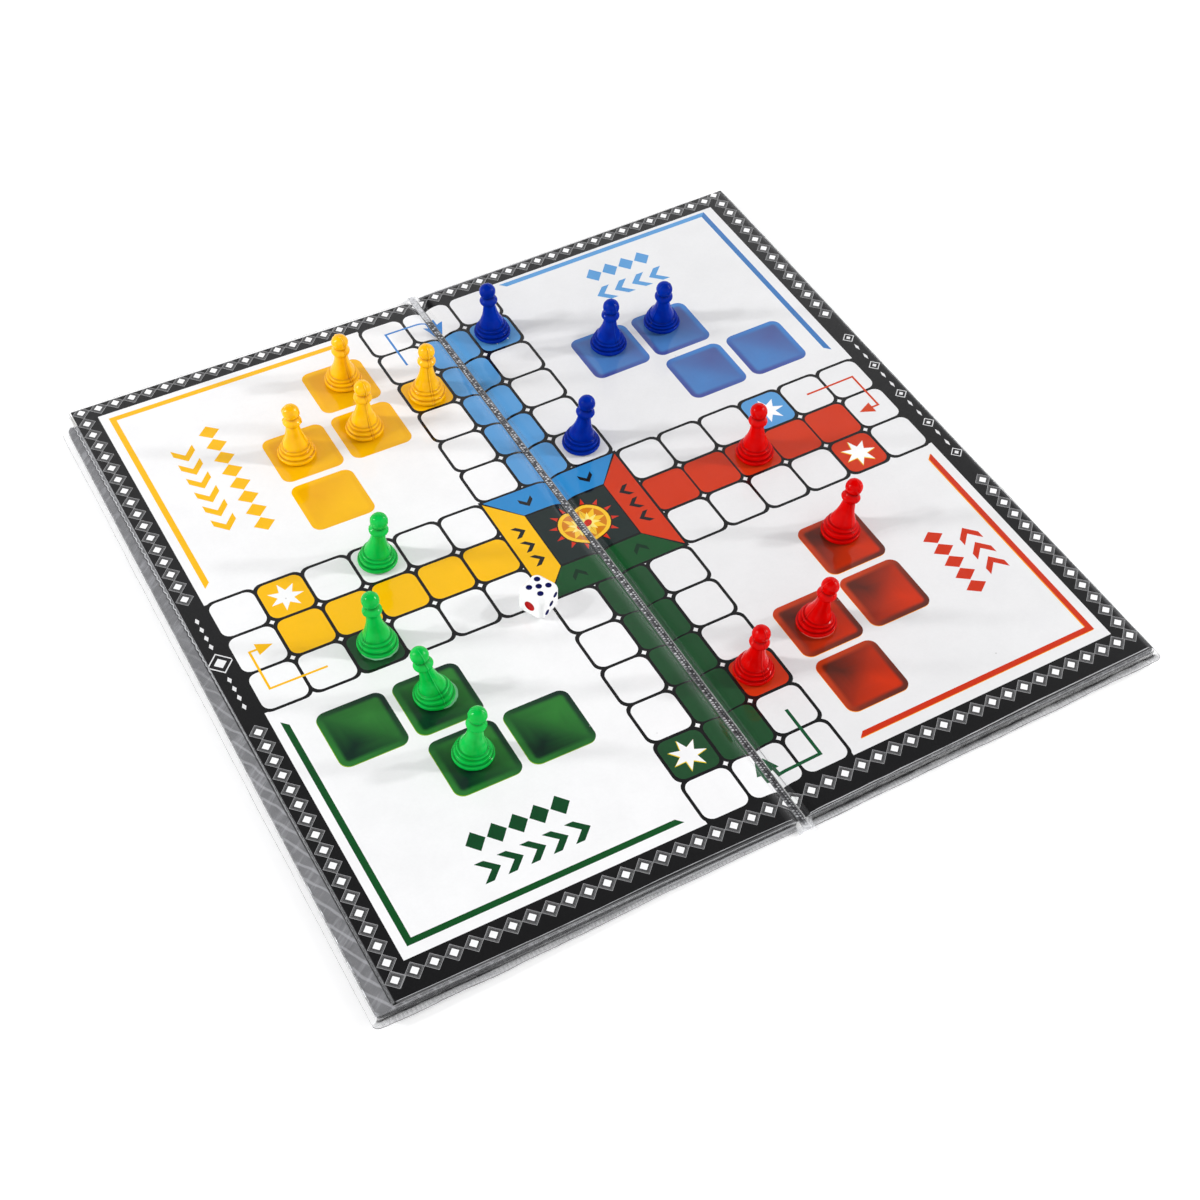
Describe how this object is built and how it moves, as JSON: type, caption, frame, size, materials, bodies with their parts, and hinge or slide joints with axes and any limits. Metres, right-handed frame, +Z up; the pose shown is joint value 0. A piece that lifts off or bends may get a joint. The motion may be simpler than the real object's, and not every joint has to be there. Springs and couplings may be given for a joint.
{
  "type": "folding ludo board set",
  "caption": "Flat folding ludo board sealed in clear film, with a welded film hinge down the middle, and its plastic pawns and die standing on the printed track.",
  "frame": {"origin": "middle of the open board's outline, on the surface that it lies on", "axes": "+X across the hinge towards the blue and red side, +Y along the hinge towards the yellow and blue side, +Z up"},
  "size_m": [0.305, 0.3008, 0.0301],
  "materials": {
    "chipboard": "matte grey chipboard",
    "printed_sheet": "printed paper, seen through glossy film",
    "clear_film": "clear glossy film",
    "ribbed_weld": "glossy ribbed weld",
    "pawn_yellow": "glossy moulded plastic",
    "pawn_green": "glossy moulded plastic",
    "pawn_blue": "glossy moulded plastic",
    "pawn_red": "glossy moulded plastic",
    "die_white": "glossy white plastic",
    "pip_blue": "dark blue paint",
    "pip_red": "red paint"
  },
  "bodies": {
    "left_half": {"core_left": "chipboard", "ludo_sheet_left": "printed_sheet", "back_sheet_left": "printed_sheet", "top_film_left": "clear_film", "bottom_film_left": "clear_film"},
    "hinge_strip": {"hinge_strip": "ribbed_weld"},
    "right_half": {"core_right": "chipboard", "ludo_sheet_right": "printed_sheet", "back_sheet_right": "printed_sheet", "top_film_right": "clear_film", "bottom_film_right": "clear_film"},
    "pawn_yellow_1": {"pawn_yellow_1": "pawn_yellow"},
    "pawn_yellow_2": {"pawn_yellow_2": "pawn_yellow"},
    "pawn_yellow_3": {"pawn_yellow_3": "pawn_yellow"},
    "pawn_yellow_4": {"pawn_yellow_4": "pawn_yellow"},
    "pawn_green_1": {"pawn_green_1": "pawn_green"},
    "pawn_green_2": {"pawn_green_2": "pawn_green"},
    "pawn_green_3": {"pawn_green_3": "pawn_green"},
    "pawn_green_4": {"pawn_green_4": "pawn_green"},
    "pawn_blue_1": {"pawn_blue_1": "pawn_blue"},
    "pawn_blue_2": {"pawn_blue_2": "pawn_blue"},
    "pawn_blue_3": {"pawn_blue_3": "pawn_blue"},
    "pawn_blue_4": {"pawn_blue_4": "pawn_blue"},
    "pawn_red_1": {"pawn_red_1": "pawn_red"},
    "pawn_red_2": {"pawn_red_2": "pawn_red"},
    "pawn_red_3": {"pawn_red_3": "pawn_red"},
    "pawn_red_4": {"pawn_red_4": "pawn_red"},
    "die": {"die_body": "die_white", "die_pips_blue": "pip_blue", "die_pip_red": "pip_red"}
  },
  "joints": [
    {"name": "crease_left", "type": "hinge", "parent": "left_half", "child": "hinge_strip", "pos_m": [0.00073, 0.00268, 0.00179], "axis": [0, 1, 0], "range_deg": [0, 90.9]},
    {"name": "crease_right", "type": "hinge", "parent": "hinge_strip", "child": "right_half", "pos_m": [0.00473, 0.00268, 0.00179], "axis": [0, 1, 0], "range_deg": [0, 90.9]},
    {"name": "pawn_yellow_1_lift", "type": "slide", "parent": "left_half", "child": "pawn_yellow_1", "axis": [0.0161, 0, 0.9999], "range_m": [0, 0.04]},
    {"name": "pawn_yellow_2_lift", "type": "slide", "parent": "left_half", "child": "pawn_yellow_2", "axis": [0.0161, 0, 0.9999], "range_m": [0, 0.04]},
    {"name": "pawn_yellow_3_lift", "type": "slide", "parent": "left_half", "child": "pawn_yellow_3", "axis": [0.0161, 0, 0.9999], "range_m": [0, 0.04]},
    {"name": "pawn_yellow_4_lift", "type": "slide", "parent": "left_half", "child": "pawn_yellow_4", "axis": [0.0161, 0, 0.9999], "range_m": [0, 0.04]},
    {"name": "pawn_green_1_lift", "type": "slide", "parent": "left_half", "child": "pawn_green_1", "axis": [0.0161, 0, 0.9999], "range_m": [0, 0.04]},
    {"name": "pawn_green_2_lift", "type": "slide", "parent": "left_half", "child": "pawn_green_2", "axis": [0.0161, 0, 0.9999], "range_m": [0, 0.04]},
    {"name": "pawn_green_3_lift", "type": "slide", "parent": "left_half", "child": "pawn_green_3", "axis": [0.0161, 0, 0.9999], "range_m": [0, 0.04]},
    {"name": "pawn_green_4_lift", "type": "slide", "parent": "left_half", "child": "pawn_green_4", "axis": [0.0161, 0, 0.9999], "range_m": [0, 0.04]},
    {"name": "pawn_blue_1_lift", "type": "slide", "parent": "right_half", "child": "pawn_blue_1", "axis": [-0.0161, 0, 0.9999], "range_m": [0, 0.04]},
    {"name": "pawn_blue_2_lift", "type": "slide", "parent": "right_half", "child": "pawn_blue_2", "axis": [-0.0161, 0, 0.9999], "range_m": [0, 0.04]},
    {"name": "pawn_blue_3_lift", "type": "slide", "parent": "right_half", "child": "pawn_blue_3", "axis": [-0.0161, 0, 0.9999], "range_m": [0, 0.04]},
    {"name": "pawn_blue_4_lift", "type": "slide", "parent": "right_half", "child": "pawn_blue_4", "axis": [-0.0161, 0, 0.9999], "range_m": [0, 0.04]},
    {"name": "pawn_red_1_lift", "type": "slide", "parent": "right_half", "child": "pawn_red_1", "axis": [-0.0161, 0, 0.9999], "range_m": [0, 0.04]},
    {"name": "pawn_red_2_lift", "type": "slide", "parent": "right_half", "child": "pawn_red_2", "axis": [-0.0161, 0, 0.9999], "range_m": [0, 0.04]},
    {"name": "pawn_red_3_lift", "type": "slide", "parent": "right_half", "child": "pawn_red_3", "axis": [-0.0161, 0, 0.9999], "range_m": [0, 0.04]},
    {"name": "pawn_red_4_lift", "type": "slide", "parent": "right_half", "child": "pawn_red_4", "axis": [-0.0161, 0, 0.9999], "range_m": [0, 0.04]},
    {"name": "die_lift", "type": "slide", "parent": "left_half", "child": "die", "axis": [0.0161, 0, 0.9999], "range_m": [0, 0.04]}
  ],
  "couplings": [
    {"joint": "crease_right", "follows": "crease_left", "ratio": 1}
  ]
}
